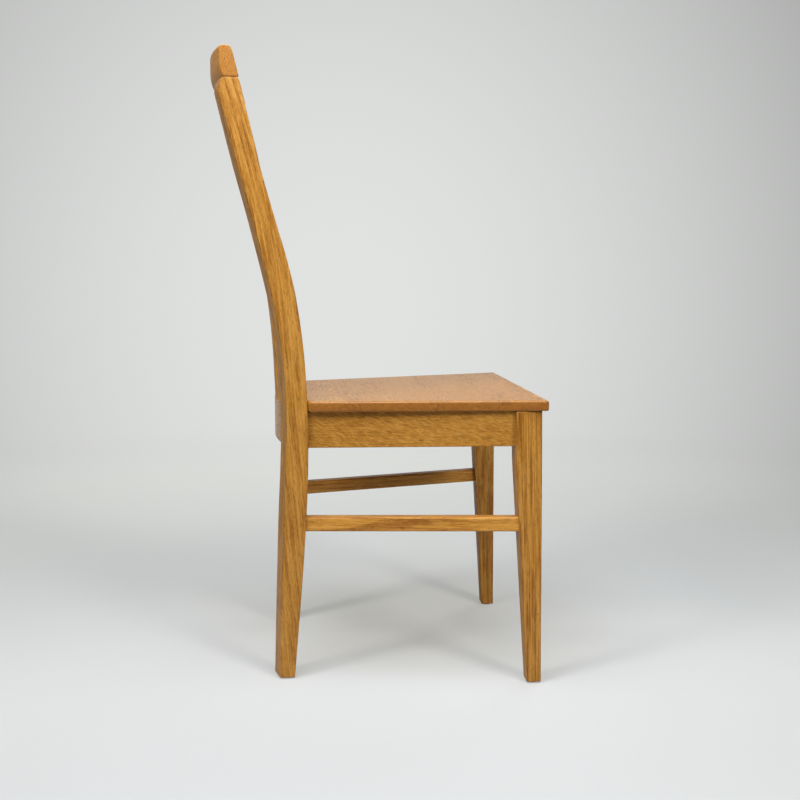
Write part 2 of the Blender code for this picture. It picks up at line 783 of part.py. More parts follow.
def block_corners(side, at_front):
    """Plan points inside the leg or post, the side rail and the cross rail, and the leg's corner."""
    z = rail_bottom(0.0)
    frame, length, _ = side_rail_parts(side)
    if at_front:
        cross_y = FRONT_RAIL_MIDDLE_Y
        cross = Vector((side * (LEG_INNER_X + LEG_WIDTH / 3 - BLOCK_CROSS_REACH), cross_y))
        along = frame @ Vector((BLOCK_SIDE_REACH, 0.0, 0.0))
        inside = frame @ Vector((-LEG_FOOT_DEPTH, 0.0, 0.0))
        leg_corner = Vector((side * LEG_INNER_X, leg_back(LEG_TOP)))
    else:
        cross_x = post_inner(z) + POST_WIDTH / 3 - BLOCK_CROSS_REACH
        cross = Vector((side * cross_x, rear_rail_front(cross_x) + REAR_RAIL_THICKNESS / 2))
        along = frame @ Vector((length - BLOCK_SIDE_REACH, 0.0, 0.0))
        inside = frame @ Vector((length + LEG_FOOT_DEPTH, 0.0, 0.0))
        leg_corner = Vector((side * post_inner(z), post_front(z, post_inner(z))))
    return inside.to_2d(), along.to_2d(), cross, leg_corner


def block_face(side, at_front):
    """The point on the block's long face that looks at the leg's corner, and the way to it."""
    _, along, cross, leg_corner = block_corners(side, at_front)
    edge = (along - cross).normalized()
    foot = cross + edge * edge.dot(leg_corner - cross)
    return foot, (leg_corner - foot).normalized(), edge


def on_seat_plane(point, drop):
    """A plan point, at a depth below the seat's top."""
    return seat_frame(drop) @ Vector((point.x, point.y, 0.0))


def block_screw_matrix(side, at_front):
    foot, way, _ = block_face(side, at_front)
    origin = on_seat_plane(foot, SEAT_THICKNESS + GAP + BLOCK_HEIGHT / 2)
    way = Vector((way.x, way.y, 0.0))
    return from_axes(origin, (0, 0, 1), way.cross(Vector((0, 0, 1))))


def seat_screw_matrix(side, at_front):
    foot, way, edge = block_face(side, at_front)
    point = foot + way * SEAT_SCREW_INSET - edge * SEAT_SCREW_SHIFT
    drop = SEAT_THICKNESS + GAP + BLOCK_HEIGHT
    return seat_frame() @ Matrix.Translation((point.x, point.y, -drop))


def corner_block(name, side, at_front, material):
    """A triangle that runs on into its neighbours, to be cut back to them."""
    inside, along, cross, _ = block_corners(side, at_front)
    outline = [tuple(inside), tuple(along), tuple(cross)]
    drop = SEAT_THICKNESS + GAP + BLOCK_HEIGHT / 2
    return plate(name, outline, BLOCK_HEIGHT, seat_frame(drop), material)


def glide_points():
    """The middle of each foot."""
    low = GLIDE_HEIGHT
    front_x = LEG_OUTER_X - leg_width(low) / 2
    front_y = (leg_front(low) + leg_back(low)) / 2
    rear_x = post_outer(low) - POST_WIDTH / 2
    rear_y = (smooth(POST_FRONT_LINE, low) + smooth(POST_REAR_LINE, low)) / 2 + POST_SKEW * POST_WIDTH / 2
    points = {}
    for side_name, side in SIDES.items():
        points["front_" + side_name] = (side * front_x, front_y, 0.0)
        points["rear_" + side_name] = (side * rear_x, rear_y, 0.0)
    return points


def build_chair():
    wood = make_material("oiled_oak", (0.54, 0.31, 0.12), 0.42)
    hidden_wood = make_material("plain_beech", (0.50, 0.33, 0.17), 0.60)
    steel = make_material("zinc_plated_steel", (0.62, 0.60, 0.55), 0.35, 1.0)
    nylon = make_material("dark_nylon", (0.025, 0.023, 0.020), 0.55)

    seat = seat_panel("seat_panel", wood)
    crest = crest_rail("crest_rail", wood)
    back_rail = rear_rail("rear_rail", wood)
    front = front_rail("front_rail", wood)
    ease(front, RAIL_EDGE_RADIUS)
    grown_front = front_rail("grown_front_rail", grow=GAP)
    grown_back = rear_rail("grown_rear_rail", grow=GAP)

    for index in range(SLAT_COUNT):
        back_slat(f"back_slat_{index + 1}", index, wood)
        foot, head = slat_tenons(f"slat_mortise_{index + 1}", slat_frame(index), GAP)
        cut(back_rail, foot)
        cut(crest, head)

    glide = glide_mesh("glide")
    glide_hole = glide_mesh("glide_hole", GAP)
    screw = screw_mesh("screw")
    screw_hole = screw_mesh("screw_hole", GAP)

    for side_name, side in SIDES.items():
        leg = front_leg("front_leg_" + side_name, side, wood)
        post = rear_post("rear_post_" + side_name, side, wood)
        grown_leg = front_leg("grown_leg_" + side_name, side, grow=GAP)
        grown_post = rear_post("grown_post_" + side_name, side, grow=GAP)

        rail_parts = side_rail_parts(side)
        frame, length, _ = rail_parts
        rail = long_rail("side_rail_" + side_name, frame, length, rail_top, rail_bottom, RAIL_THICKNESS, wood)
        ease(rail, RAIL_EDGE_RADIUS)
        cut(rail, grown_leg, grown_post)
        tenons = rail_tenons("rail_tenon_" + side_name, rail_parts, RAIL_TENON_LENGTH, RAIL_TENON_THICKNESS)
        join(rail, *tenons)
        grown_rail = long_rail(
            "grown_rail_" + side_name, frame, length, rail_top, rail_bottom, RAIL_THICKNESS, grow=GAP
        )

        bar_parts = stretcher_parts(side)
        bar_frame, bar_length, _ = bar_parts
        bar = long_rail(
            "side_stretcher_" + side_name, bar_frame, bar_length,
            stretcher_top, stretcher_bottom, STRETCHER_THICKNESS, wood,
        )
        ease(bar, STRETCHER_EDGE_RADIUS)
        cut(bar, grown_leg, grown_post)
        bar_tenons = rail_tenons(
            "bar_tenon_" + side_name, bar_parts, STRETCHER_TENON_LENGTH, RAIL_TENON_THICKNESS
        )
        join(bar, *bar_tenons)

        join(front, front_rail_tenon("front_rail_tenon_" + side_name, side))
        cut(back_rail, grown_post)
        join(back_rail, rear_rail_tenon("rear_rail_tenon_" + side_name, side))
        join(post, post_tenon("post_tenon_" + side_name, side))
        cut(crest, post_tenon("post_mortise_" + side_name, side, GAP))

        rail_front, rail_rear = rail_tenons(
            "rail_mortise_" + side_name, rail_parts, RAIL_TENON_LENGTH, RAIL_TENON_THICKNESS, GAP
        )
        bar_front, bar_rear = rail_tenons(
            "bar_mortise_" + side_name, bar_parts, STRETCHER_TENON_LENGTH, RAIL_TENON_THICKNESS, GAP
        )
        cut(leg, rail_front, bar_front, front_rail_tenon("front_rail_mortise_" + side_name, side, GAP))
        cut(post, rail_rear, bar_rear, rear_rail_tenon("rear_rail_mortise_" + side_name, side, GAP))

        points = glide_points()
        for end_name, wooden_foot in (("front", leg), ("rear", post)):
            at = Matrix.Translation(points[f"{end_name}_{side_name}"])
            place(f"foot_glide_{end_name}_{side_name}", glide, at, nylon)
            cut(wooden_foot, place(f"glide_hole_{end_name}_{side_name}", glide_hole, at))

        for end_name, at_front, upright, grown_upright, grown_cross in (
            ("front", True, leg, grown_leg, grown_front), ("rear", False, post, grown_post, grown_back),
        ):
            corner = f"{end_name}_{side_name}"
            block = corner_block("corner_block_" + corner, side, at_front, hidden_wood)
            cut(block, grown_rail, grown_upright, grown_cross)
            across = block_screw_matrix(side, at_front)
            upward = seat_screw_matrix(side, at_front)
            place("block_screw_" + corner, screw, across, steel)
            place("seat_screw_" + corner, screw, upward, steel)
            across_hole = place("block_screw_hole_" + corner, screw_hole, across)
            upward_hole = place("seat_screw_hole_" + corner, screw_hole, upward)
            cut(block, across_hole, upward_hole)
            cut(upright, across_hole)
            cut(seat, upward_hole)

    for item in CHAIR.objects:
        smooth_shade(item)


build_chair()
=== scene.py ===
"""The looks of an oiled-oak dining chair: its eased pieces, its finishes, the camera and the studio.

Metres, +Z up. The chair faces -Y, and the sitter's right is -X.
"""

import math

import bpy
import numpy as np
from mathutils import Matrix, Vector


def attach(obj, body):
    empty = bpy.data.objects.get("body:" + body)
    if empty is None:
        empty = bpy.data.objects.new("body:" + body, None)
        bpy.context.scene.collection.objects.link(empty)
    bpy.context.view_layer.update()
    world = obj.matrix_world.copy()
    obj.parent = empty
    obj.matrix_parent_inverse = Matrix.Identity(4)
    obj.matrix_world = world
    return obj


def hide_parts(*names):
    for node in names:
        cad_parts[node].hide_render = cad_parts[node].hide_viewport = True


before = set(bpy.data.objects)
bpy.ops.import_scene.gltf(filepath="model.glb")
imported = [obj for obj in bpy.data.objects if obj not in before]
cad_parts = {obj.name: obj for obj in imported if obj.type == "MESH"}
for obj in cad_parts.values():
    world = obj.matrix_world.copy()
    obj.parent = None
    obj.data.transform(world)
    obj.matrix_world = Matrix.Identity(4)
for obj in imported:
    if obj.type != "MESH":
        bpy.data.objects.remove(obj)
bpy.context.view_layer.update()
MILLIMETRE = 0.001
SIDES = {"right": -1.0, "left": 1.0}


# Sizes, as in the part's source. Only edges differ: the seat's corners and top edge are rounded by 1.2 and
# 1.4 mm more, and its bottom edge and the edges of legs, posts and straight rails differ by 0.2 mm at most.

GAP = 0.0003
NOTCH_GAP = 0.0006
SEAT_FRONT_Y = -0.258
SEAT_FRONT_TOP = 0.450
SEAT_FALL = 0.01528
SEAT_THICKNESS = 0.0165
SEAT_HALF_WIDTH = 0.233
SEAT_CORNER = 0.0042
SEAT_TOP_EDGE = 0.0042
SEAT_BOTTOM_EDGE = 0.0030
SEAT_POST_OVERHANG = 0.0062
LEG_SIDE_SETBACK = 0.0085
LEG_FRONT_SETBACK = 0.00875
LEG_LEAN = 0.0087
LEG_WIDTH = 0.038
LEG_DEPTH = 0.0405
LEG_FOOT_WIDTH = 0.027
LEG_FOOT_DEPTH = 0.0223
LEG_TAPER_DROP = 0.0223
LEG_TAPER_BLEND = 0.030
LEG_EDGE = 0.0018
POST_REAR_LINE = (
    (0.000, 0.1566), (0.180, 0.1508), (0.300, 0.1452), (0.420, 0.1417), (0.510, 0.1460),
    (0.600, 0.1603), (0.720, 0.1887), (0.810, 0.2124), (0.915, 0.2376),
)
POST_FRONT_LINE = (
    (0.000, 0.1327), (0.180, 0.1173), (0.300, 0.1097), (0.400, 0.1078), (0.510, 0.1124), (0.600, 0.1236),
    (0.660, 0.1367), (0.720, 0.1537), (0.810, 0.1784), (0.870, 0.1916), (0.937, 0.2082),
)
POST_FOOT_HALF_SPAN = 0.167
POST_SPLAY = 0.01383
POST_WIDTH = 0.033
POST_HEAD_ROUND = 0.022
POST_HEAD_TUCK = 0.0110
POST_HEAD_CURVE = 1.6
POST_EDGE = 0.0021
BACK_RADIUS = 0.560
CREST_BOTTOM = 0.937
CREST_REAR_Y = 0.2576
CREST_SECTION = (
    (0.0280, 0.0000), (0.0190, 0.0395), (0.0179, 0.0418), (0.0162, 0.0443), (0.0135, 0.0459),
    (0.0105, 0.0464), (0.0040, 0.0463), (0.0020, 0.0459), (0.0006, 0.0444), (0.0000, 0.0415),
    (0.0000, 0.0200), (0.0005, 0.0140), (0.0018, 0.0080), (0.0034, 0.0035), (0.0050, 0.0000),
)
CREST_END_EDGE = 0.0016
REAR_RAIL_Y = 0.161
REAR_RAIL_SINK = 0.0069
REAR_RAIL_HEIGHT = 0.066
REAR_RAIL_THICKNESS = 0.022
REAR_RAIL_EDGE = 0.0025
SLAT_COUNT = 5
SLAT_REAR_LINE = (
    (0.437, 0.1597), (0.530, 0.1641), (0.597, 0.1709), (0.700, 0.1860), (0.800, 0.2070), (0.900, 0.2340),
    (0.937, 0.2465),
)
SLAT_WIDTH = 0.026
SLAT_THICKNESS = 0.0105
SLAT_EDGE = 0.0022
RAIL_INSET = 0.008
RAIL_THICKNESS = 0.022
RAIL_HEIGHT = 0.05545
RAIL_BOTTOM_FALL = 0.0239
RAIL_EDGE = 0.0014
FRONT_RAIL_SETBACK = 0.00225
STRETCHER_INSET = 0.003
STRETCHER_FRONT_TOP = 0.2665
STRETCHER_FALL = 0.0199
STRETCHER_HEIGHT = 0.0227
STRETCHER_THICKNESS = 0.022
STRETCHER_EDGE = 0.003
GLIDE_HEIGHT = 0.002


# Places that several pieces share

def smooth(line, at):
    """Cubic curve through (height, value) stations; each slope is that of the chord across its neighbours."""
    knots, values = np.array(line).T
    slopes = np.diff(values) / np.diff(knots)
    middle = (values[2:] - values[:-2]) / (knots[2:] - knots[:-2])
    slopes = np.concatenate((slopes[:1], middle, slopes[-1:]))
    index = np.clip(np.searchsorted(knots, at) - 1, 0, len(knots) - 2)
    span = knots[index + 1] - knots[index]
    t = (at - knots[index]) / span
    return (
        (2 * t ** 3 - 3 * t ** 2 + 1) * values[index]
        + (t ** 3 - 2 * t ** 2 + t) * span * slopes[index]
        + (3 * t ** 2 - 2 * t ** 3) * values[index + 1]
        + (t ** 3 - t ** 2) * span * slopes[index + 1]
    )


def seat_top(y):
    return SEAT_FRONT_TOP - SEAT_FALL * (y - SEAT_FRONT_Y)


def seat_bottom(y):
    return seat_top(y) - SEAT_THICKNESS


def rail_top(y):
    return seat_bottom(y) - GAP


LEG_OUTER_X = SEAT_HALF_WIDTH - LEG_SIDE_SETBACK
LEG_FRONT_TOP_Y = SEAT_FRONT_Y + LEG_FRONT_SETBACK
LEG_BACK_TOP_Y = LEG_FRONT_TOP_Y + LEG_DEPTH
LEG_TOP = seat_bottom(LEG_FRONT_TOP_Y) - GAP
RAIL_BOTTOM_FRONT = seat_bottom(LEG_BACK_TOP_Y) - RAIL_HEIGHT
LEG_TAPER_TOP = RAIL_BOTTOM_FRONT - LEG_TAPER_DROP
POST_TOP = CREST_BOTTOM - GAP
REAR_RAIL_TOP = seat_top(REAR_RAIL_Y - REAR_RAIL_THICKNESS) - REAR_RAIL_SINK


def rail_bottom(y):
    return RAIL_BOTTOM_FRONT - RAIL_BOTTOM_FALL * (y - LEG_BACK_TOP_Y)


def leg_taper(height):
    """0 at the foot and 1 above the taper: a straight line, rounded off over the blend by a square term."""
    share = np.clip((height - LEG_TAPER_TOP) / LEG_TAPER_BLEND + 0.5, 0, 1)
    straight = np.minimum(height, LEG_TAPER_TOP + LEG_TAPER_BLEND / 2) / LEG_TAPER_TOP
    return np.where(share < 1, straight - share ** 2 * LEG_TAPER_BLEND / (2 * LEG_TAPER_TOP), 1.0)


def leg_front(height):
    return LEG_FRONT_TOP_Y - LEG_LEAN * (LEG_TOP - height)


def leg_back(height):
    return leg_front(height) + LEG_FOOT_DEPTH + (LEG_DEPTH - LEG_FOOT_DEPTH) * leg_taper(height)


def leg_width(height):
    return LEG_FOOT_WIDTH + (LEG_WIDTH - LEG_FOOT_WIDTH) * leg_taper(height)


def post_outer(height):
    return POST_FOOT_HALF_SPAN - POST_SPLAY * height


def post_inner(height):
    return post_outer(height) - POST_WIDTH


def arc_drop(x, radius=BACK_RADIUS):
    """How far an arc that is rearmost at X = 0 has come forward at x."""
    return radius - np.sqrt(radius ** 2 - x ** 2)


POST_MIDDLE_X = post_outer(POST_TOP / 2) - POST_WIDTH / 2
POST_SKEW = POST_MIDDLE_X / math.sqrt(BACK_RADIUS ** 2 - POST_MIDDLE_X ** 2)


def post_front(height, x=None):
    """The post's front face, which turns with the back's arc across the post."""
    inward = 0.0 if x is None else post_outer(height) - abs(x)
    return smooth(POST_FRONT_LINE, height) + POST_SKEW * inward


def post_rear(height):
    """The rear edge, tucked in towards the top by TUCK * share ** CURVE."""
    share = np.clip((height - POST_TOP + POST_HEAD_ROUND) / POST_HEAD_ROUND, 0, 1)
    return smooth(POST_REAR_LINE, height) - POST_HEAD_TUCK * share ** POST_HEAD_CURVE


def rear_rail_front(x):
    radius = BACK_RADIUS - REAR_RAIL_THICKNESS
    return REAR_RAIL_Y - REAR_RAIL_THICKNESS - arc_drop(x, radius)


def stretcher_top(y):
    return STRETCHER_FRONT_TOP - STRETCHER_FALL * (y - leg_back(STRETCHER_FRONT_TOP))


def stretcher_bottom(y):
    return stretcher_top(y) - STRETCHER_HEIGHT


# Surfaces. The buried lengths are how far a piece runs into its neighbour, in place of a tenon.

FRONT_BURIED = 0.005
REAR_BURIED = 0.010
END_BURIED = 0.003
CORNER_STEPS = 7
END_TURN = np.radians((86, 68, 50, 32, 16, 0))
END_REACH = 2.2
LEG_STATIONS = 90
POST_STATIONS = 170
RAIL_STATIONS = 60
FRONT_RAIL_STATIONS = 50
ARC_STATIONS = 120
ARC_END_SHARE = 0.01
SLAT_STATIONS = 130
POST_END_SQUASH = 0.3
POST_END_INSET = 0.6
CREST_LOWER_CUT = 0.0012
SLAT_END_EDGE = 0.0008
SLOPE_STEP = 0.002
CREST_SHARES = np.linspace(0, 1, 7)[:-1]
CREST_CUT_STEPS = 6
CREST_CUT_MOST = 0.9
SEAT_REAR_POINTS = 61
SEAT_CUT_STEPS = 8
SEAT_CUT_LEAST = 0.00025
SEAT_CUT_BESIDE = 1.4


def eased_run(start, end, edge, count):
    """Stations from start to end and how far each outline is drawn in. Near an end, station and inset
    follow a quarter circle: edge * (1 - sin a) along, edge * (1 - cos a) inwards."""
    near = edge * (1 - np.sin(END_TURN))
    inset = edge * (1 - np.cos(END_TURN))
    body = np.linspace(start + END_REACH * edge, end - END_REACH * edge, count)
    at = np.concatenate((start + near, body, (end - near)[::-1]))
    return at, np.concatenate((inset, np.zeros(count), inset[::-1]))


def rounded_section(half_u, half_v, radius, inset):
    """Rectangle outlines, one a station: each corner's centre plus radius * (cos a, sin a), and a point
    beside each arc that keeps the flats flat. Drawing in shortens the arcs' radius, and their centres
    stay."""
    half_u, half_v, inset = np.broadcast_arrays(half_u, half_v, inset)
    half = np.stack((half_u, half_v), -1)[:, None, None, :]
    inset = inset[:, None, None, None]
    quarter = np.radians(np.linspace(0, 90, CORNER_STEPS)) + np.radians(90) * np.arange(4)[:, None]
    quarter = np.concatenate((quarter[:, :1], quarter, quarter[:, -1:]), 1)
    normal = np.stack((np.cos(quarter), np.sin(quarter)), -1)
    corner = np.array([(1, 1), (-1, 1), (-1, -1), (1, -1)])[:, None, :]
    beside = np.zeros_like(normal)
    beside[:, 0] = normal[:, 0] @ np.array([(0, -1), (1, 0)]) * radius
    beside[:, -1] = normal[:, -1] @ np.array([(0, 1), (-1, 0)]) * radius
    points = corner * (half - radius) + beside + normal * (radius - inset)
    return points.reshape(len(points), -1, 2)


def inset_outline(points, inset):
    """A closed outline drawn in along its mitred normals by an amount for each station."""
    after = np.roll(points, -1, 0) - points
    after /= np.linalg.norm(after, axis=1, keepdims=True)
    before = np.roll(after, 1, 0)
    mitre = np.stack(((before + after)[:, 1], -(before + after)[:, 0]), -1)
    mitre *= 2 / (mitre ** 2).sum(1, keepdims=True)
    turned = (points[:, 0] * np.roll(points[:, 1], -1) - points[:, 1] * np.roll(points[:, 0], -1)).sum()
    return points - np.sign(turned) * mitre * np.asarray(inset)[:, None, None]


def skin(name, rings, material, *replaced):
    """One closed piece from (station, outline, XYZ) rings: quads between them and a flat face at each end."""
    stations, around = rings.shape[:2]
    index = np.arange(stations * around).reshape(stations, around)
    turned = np.roll(index, -1, 1)
    quads = np.stack((index[:-1], turned[:-1], turned[1:], index[1:]), -1).reshape(-1, 4)
    ends = (index[0][::-1], index[-1])
    points = rings.reshape(-1, 3)
    fans = [np.stack((np.full(around - 2, end[0]), end[1:-1], end[2:]), -1) for end in ends]
    triangles = np.concatenate((quads[:, :3], quads[:, [0, 2, 3]], *fans))
    first, second, third = points[triangles].transpose(1, 0, 2)
    if (first * np.cross(second, third)).sum() < 0:
        quads = quads[:, ::-1]
        ends = [end[::-1] for end in ends]
    mesh = bpy.data.meshes.new(name)
    mesh.from_pydata(points.tolist(), [], quads.tolist() + [end.tolist() for end in ends])
    mesh.polygons.foreach_set("use_smooth", np.arange(len(mesh.polygons)) < len(quads))
    mesh.materials.append(material)
    piece = bpy.data.objects.new(name, mesh)
    bpy.context.scene.collection.objects.link(piece)
    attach(piece, "root")
    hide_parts(*replaced)


def front_leg(side_name, material):
    """A rectangle carried up the leg: its back and inner faces follow the taper, and its top slopes with
    the seat, z = t - fall * (y - front) * t / top."""
    side = SIDES[side_name]
    at, inset = eased_run(GLIDE_HEIGHT, LEG_TOP, LEG_EDGE, LEG_STATIONS)
    front, back, width = leg_front(at), leg_back(at), leg_width(at)
    section = rounded_section(width / 2, (back - front) / 2, LEG_EDGE, inset)
    x = side * (LEG_OUTER_X - width / 2)[:, None] + section[..., 0]
    y = ((front + back) / 2)[:, None] + section[..., 1]
    z = at[:, None] - SEAT_FALL * (y - front[:, None]) * at[:, None] / LEG_TOP
    name = "front_leg_" + side_name
    skin(name + "_oak", np.stack((x, y, z), -1), material, name)


def rear_post(side_name, material):
    """A rectangle carried up the post's front and rear curves, sheared to follow the back's arc:
    y = middle + v + skew * (half width - u), x = side * (outer - half width + u). The eased end is squashed
    under the crest rail, so that the joint there stays thin."""
    side = SIDES[side_name]
    at, inset = eased_run(GLIDE_HEIGHT, POST_TOP, POST_EDGE, POST_STATIONS)
    at[-len(END_TURN):] = POST_TOP - (POST_TOP - at[-len(END_TURN):]) * POST_END_SQUASH
    half = np.full_like(at, POST_WIDTH / 2)
    front, rear = smooth(POST_FRONT_LINE, at), post_rear(at)
    section = rounded_section(half, (rear - front) / 2, POST_EDGE, inset * POST_END_INSET)
    u, v = section[..., 0], section[..., 1]
    x = side * (post_outer(at)[:, None] - POST_WIDTH / 2 + u)
    y = ((front + rear) / 2)[:, None] + v + POST_SKEW * (POST_WIDTH / 2 - u)
    z = np.broadcast_to(at[:, None], x.shape)
    name = "rear_post_" + side_name
    skin(name + "_oak", np.stack((x, y, z), -1), material, name)


def long_rail(name, side, height, sizes, top, bottom, material):
    """A rectangle between two sloping height lines, carried from the leg's back face to the post's front and
    a little into both: plan = start + t * along + u * outward, z = the lines' middle + v. Its sizes are the
    setback from the leg's and post's outer faces, the thickness and the edge radius."""
    setback, thickness, edge = sizes
    start = np.array((side * (LEG_OUTER_X - setback), float(leg_back(height))))
    end = np.array((side * (post_outer(height) - setback), float(post_front(height))))
    length = np.linalg.norm(end - start)
    along = (end - start) / length
    outward = side * np.array((along[1], -along[0]))
    at, inset = eased_run(-FRONT_BURIED, length + REAR_BURIED, edge, RAIL_STATIONS)
    line = start + at[:, None] * along - outward * thickness / 2
    low, high = bottom(line[:, 1]), top(line[:, 1])
    section = rounded_section(np.full_like(at, thickness / 2), (high - low) / 2, edge, inset)
    plan = line[:, None] + section[..., :1] * outward
    z = ((low + high) / 2)[:, None] + section[..., 1]
    skin(name + "_oak", np.concatenate((plan, z[..., None]), -1), material, name)


def front_rail(material):
    """A straight rectangle from leg to leg and a little into both: x = t, y = middle + u,
    z = middle + v."""
    front_y = LEG_FRONT_TOP_Y + FRONT_RAIL_SETBACK
    high = rail_top(front_y + RAIL_THICKNESS)
    half_span = LEG_OUTER_X - LEG_WIDTH + END_BURIED
    at, inset = eased_run(-half_span, half_span, RAIL_EDGE, FRONT_RAIL_STATIONS)
    section = rounded_section(RAIL_THICKNESS / 2, (high - RAIL_BOTTOM_FRONT) / 2, RAIL_EDGE, inset)
    x = np.broadcast_to(at[:, None], section.shape[:2])
    y = front_y + RAIL_THICKNESS / 2 + section[..., 0]
    z = (high + RAIL_BOTTOM_FRONT) / 2 + section[..., 1]
    skin("front_rail_oak", np.stack((x, y, z), -1), material, "front_rail")


def arc_points(x, depth, rear_y):
    """Y on a circle about the back's axis: rear_y - R + sqrt((R - depth)^2 - x^2)."""
    return rear_y - BACK_RADIUS + np.sqrt((BACK_RADIUS - depth) ** 2 - x ** 2)


def rear_rail(material):
    """A rectangle in (depth, height) carried round the back's arc: x = t * (inner(z) + post width / 3), y on
    the arc at the section's depth. Its ends lie inside the posts, so they aren't drawn in."""
    at, inset = eased_run(-1, 1, ARC_END_SHARE, ARC_STATIONS)
    half = REAR_RAIL_THICKNESS / 2
    section = rounded_section(half, REAR_RAIL_HEIGHT / 2, REAR_RAIL_EDGE, inset * 0)
    z = REAR_RAIL_TOP - REAR_RAIL_HEIGHT / 2 + section[..., 1]
    x = at[:, None] * (post_inner(z) + POST_WIDTH / 3)
    y = arc_points(x, half + section[..., 0], REAR_RAIL_Y)
    skin("rear_rail_oak", np.stack((x, y, z), -1), material, "rear_rail")


def fine_crest_section():
    """The crest's (depth, height) stations joined by the smooth curve, taken over the chord's length, with
    its two lower corners cut by a quadratic curve."""
    stations = np.array(CREST_SECTION)
    chord = np.concatenate(((0,), np.cumsum(np.linalg.norm(np.diff(stations, axis=0), axis=1))))
    at = (chord[:-1, None] + CREST_SHARES * np.diff(chord)[:, None]).ravel()
    at = np.append(at, chord[-1])
    curve = np.stack([smooth(np.stack((chord, stations[:, axis]), -1), at) for axis in (0, 1)], -1)
    t = np.linspace(0, 1, CREST_CUT_STEPS)[:, None]
    corners = []
    for corner, before, after in ((curve[-1], curve[-2], curve[0]), (curve[0], curve[-1], curve[1])):
        way_in = (corner - before) / np.linalg.norm(corner - before)
        way_out = (after - corner) / np.linalg.norm(after - corner)
        ease_in = min(CREST_LOWER_CUT, np.linalg.norm(corner - before) * CREST_CUT_MOST)
        ease_out = min(CREST_LOWER_CUT, np.linalg.norm(after - corner) * CREST_CUT_MOST)
        corners.append(corner - way_in * ease_in * (1 - t) ** 2 + way_out * ease_out * t ** 2)
    return np.concatenate((corners[1], curve[1:-1], corners[0]))


def crest_rail(material):
    """The section carried round the back's arc from end to end, where each end follows the posts' splay:
    x = t * outer(z), y on the arc at the section's depth."""
    half = float(post_outer(CREST_BOTTOM))
    at, inset = eased_run(-half, half, CREST_END_EDGE, ARC_STATIONS)
    section = inset_outline(fine_crest_section(), inset)
    z = CREST_BOTTOM + section[..., 1]
    x = (at / half)[:, None] * post_outer(z)
    y = arc_points(x, section[..., 0], CREST_REAR_Y)
    skin("crest_rail_oak", np.stack((x, y, z), -1), material, "crest_rail")


SLAT_BOTTOM = REAR_RAIL_TOP + GAP
SLAT_TOP = CREST_BOTTOM - GAP
SLAT_SPACE = (2 * post_inner(SLAT_BOTTOM) - SLAT_COUNT * SLAT_WIDTH) / (SLAT_COUNT + 1)


def slat_frame(index):
    """A slat stands on the rear rail's arc, turned to it, and leans with the posts."""
    x = (SLAT_WIDTH + SLAT_SPACE) * (index - (SLAT_COUNT - 1) / 2)
    lean = x * (1 - post_inner(SLAT_TOP) / post_inner(SLAT_BOTTOM)) / (SLAT_TOP - SLAT_BOTTOM)
    foot = Vector((x, REAR_RAIL_Y - float(arc_drop(x)), SLAT_BOTTOM))
    turn = Matrix.Rotation(-math.asin(x / BACK_RADIUS), 4, "Z") @ Matrix.Rotation(-math.atan(lean), 4, "Y")
    return Matrix.Translation(foot) @ turn @ Matrix.Translation((0.0, -REAR_RAIL_Y, -SLAT_BOTTOM))


def back_slat(index, material):
    """A rectangle carried up the slat's rear curve: y = rear(z) - depth / 2 + v, where the depth is
    thickness * sqrt(1 + slope^2), then moved to the slat's place."""
    at, inset = eased_run(SLAT_BOTTOM - END_BURIED, SLAT_TOP + END_BURIED, SLAT_END_EDGE, SLAT_STATIONS)
    rise = smooth(SLAT_REAR_LINE, at + SLOPE_STEP) - smooth(SLAT_REAR_LINE, at - SLOPE_STEP)
    slope = rise / (2 * SLOPE_STEP)
    deep = SLAT_THICKNESS * np.sqrt(1 + slope ** 2)
    section = rounded_section(np.full_like(at, SLAT_WIDTH / 2), deep / 2, SLAT_EDGE, inset)
    x = section[..., 0]
    y = (smooth(SLAT_REAR_LINE, at) - deep / 2)[:, None] + section[..., 1]
    z = np.broadcast_to(at[:, None], x.shape)
    place = np.array(slat_frame(index))
    rings = np.stack((x, y, z), -1) @ place[:3, :3].T + place[:3, 3]
    name = f"back_slat_{index + 1}"
    skin(name + "_oak", rings, material, name)


